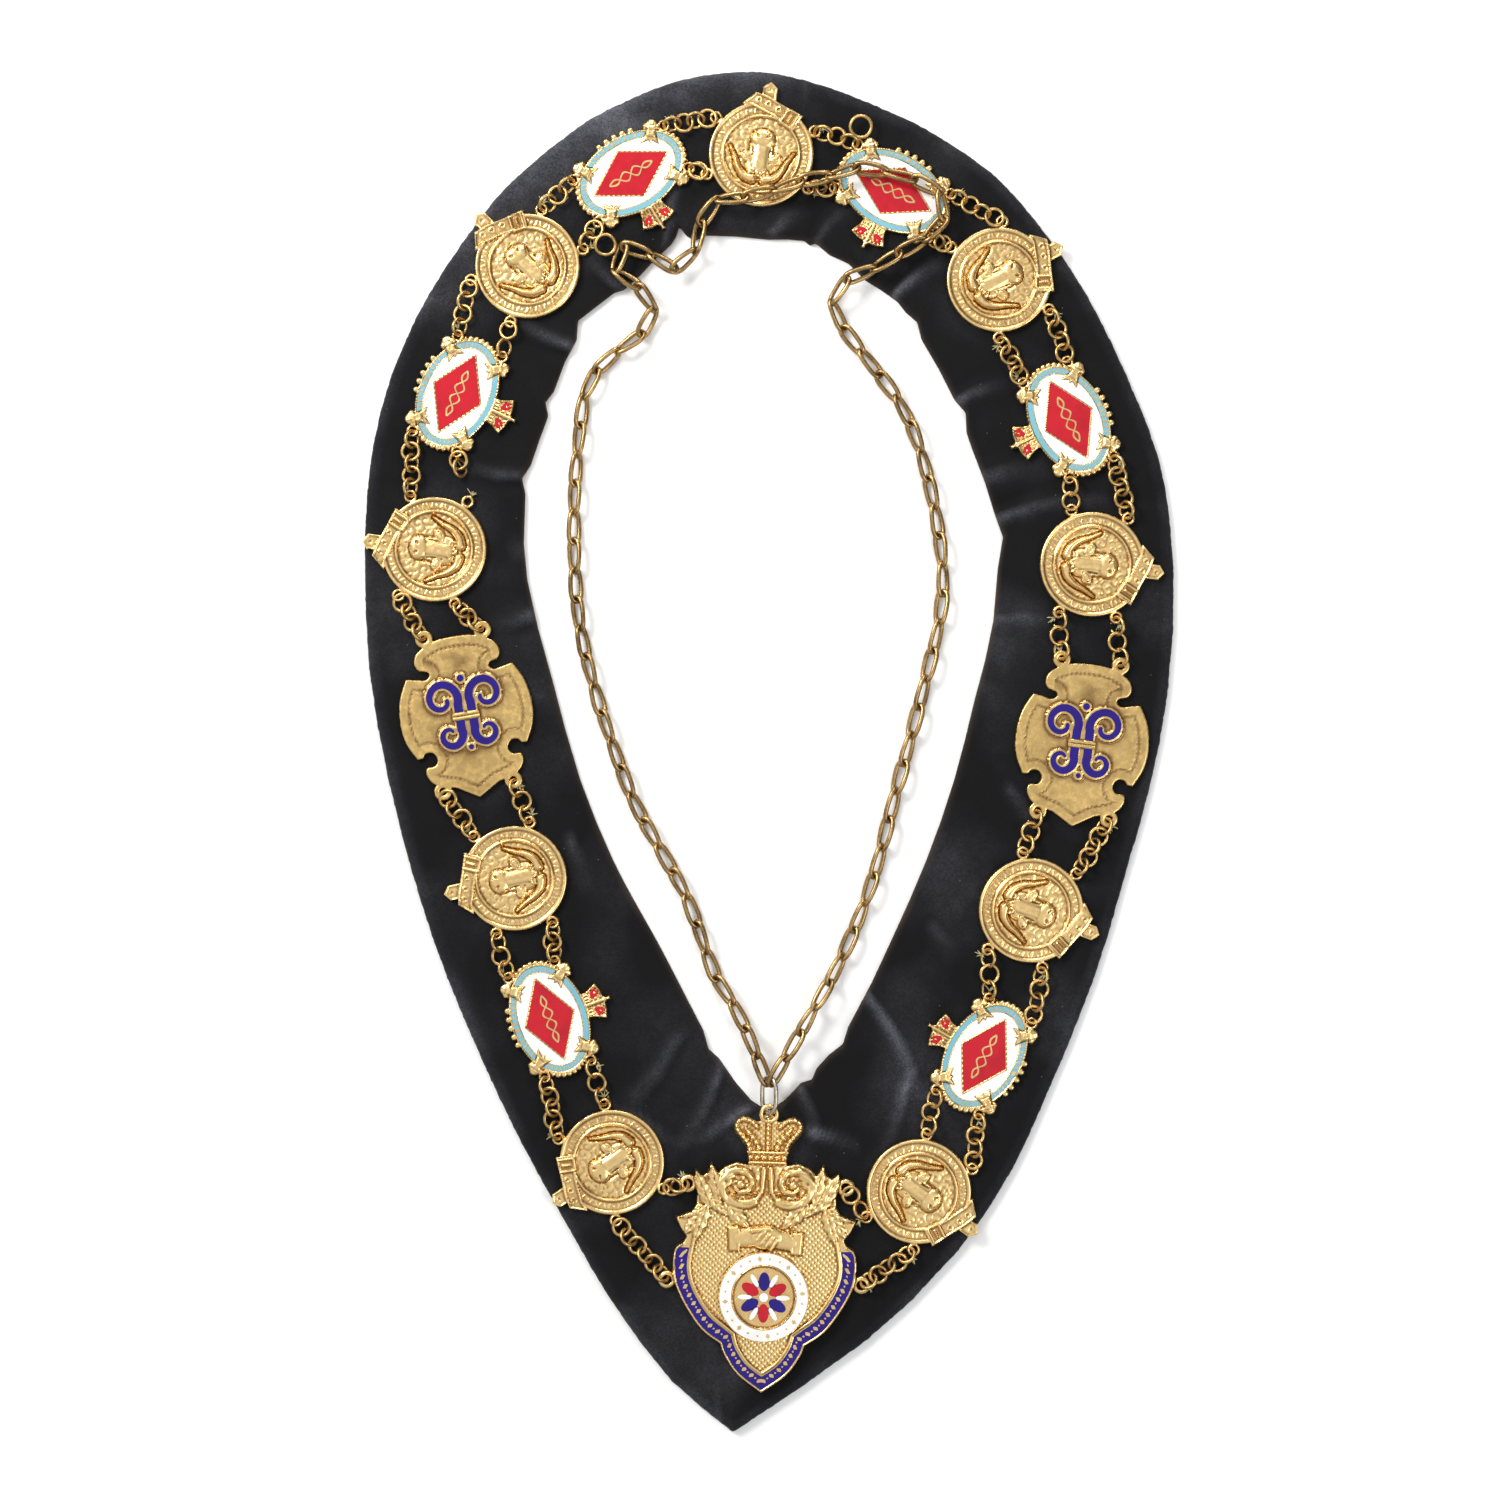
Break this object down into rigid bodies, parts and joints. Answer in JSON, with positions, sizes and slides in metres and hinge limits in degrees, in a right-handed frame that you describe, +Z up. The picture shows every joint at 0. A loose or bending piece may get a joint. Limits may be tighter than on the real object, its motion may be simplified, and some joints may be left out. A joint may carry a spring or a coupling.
{
  "type": "chain of office",
  "caption": "Ceremonial chain of office lying flat: a padded black velvet collar with a pointed front, set with gilt and enamelled badges joined by ring chains, with a shield-shaped jewel.",
  "frame": {"origin": "middle of the whole piece in X and Y, on the surface that it lies on", "axes": "+Y from the pointed front up to the nape, +X across the collar to the right as seen from above, +Z up from the surface, out of the badges' faces"},
  "size_m": [0.2832, 0.476, 0.012],
  "materials": {
    "velvet": "black velvet pile, worn brownish along the inner edge",
    "gilt": "gilt metal, worn",
    "enamel": "white enamel with red, blue and gold",
    "ring_brass": "gilt rings, dulled",
    "nickel": "worn nickel over brass",
    "chain_brass": "aged brass"
  },
  "bodies": {
    "root": {"velvet_collar": "velvet", "medallion_1": "gilt", "oval_2": "gilt", "medallion_3": "gilt", "oval_4": "gilt", "medallion_5": "gilt", "plate_6": "gilt", "medallion_7": "gilt", "oval_8": "gilt", "medallion_9": "gilt", "jewel": "gilt", "jewel_roundel": "enamel", "medallion_11": "gilt", "oval_12": "gilt", "medallion_13": "gilt", "plate_14": "gilt", "medallion_15": "gilt", "oval_16": "gilt", "medallion_17": "gilt", "oval_18": "gilt", "rings_1_to_2_outer": "ring_brass", "rings_1_to_2_inner": "ring_brass", "rings_2_to_3_outer": "ring_brass", "rings_2_to_3_inner": "ring_brass", "rings_3_to_4_outer": "ring_brass", "rings_3_to_4_inner": "ring_brass", "rings_4_to_5_outer": "ring_brass", "rings_4_to_5_inner": "ring_brass", "rings_5_to_6_outer": "ring_brass", "rings_5_to_6_inner": "ring_brass", "rings_6_to_7_outer": "ring_brass", "rings_6_to_7_inner": "ring_brass", "rings_7_to_8_outer": "ring_brass", "rings_7_to_8_inner": "ring_brass", "rings_8_to_9_outer": "ring_brass", "rings_8_to_9_inner": "ring_brass", "rings_9_to_10_outer": "ring_brass", "rings_9_to_10_inner": "ring_brass", "rings_10_to_11_outer": "ring_brass", "rings_10_to_11_inner": "ring_brass", "rings_11_to_12_outer": "ring_brass", "rings_11_to_12_inner": "ring_brass", "rings_12_to_13_outer": "ring_brass", "rings_12_to_13_inner": "ring_brass", "rings_13_to_14_outer": "ring_brass", "rings_13_to_14_inner": "ring_brass", "rings_14_to_15_outer": "ring_brass", "rings_14_to_15_inner": "ring_brass", "rings_15_to_16_outer": "ring_brass", "rings_15_to_16_inner": "ring_brass", "rings_16_to_17_outer": "ring_brass", "rings_16_to_17_inner": "ring_brass", "rings_17_to_18_outer": "ring_brass", "rings_17_to_18_inner": "ring_brass", "rings_18_to_1_outer": "ring_brass", "rings_18_to_1_inner": "ring_brass", "bail_ring": "nickel", "neck_chain_left": "chain_brass", "neck_chain_right": "chain_brass"}
  },
  "joints": []
}
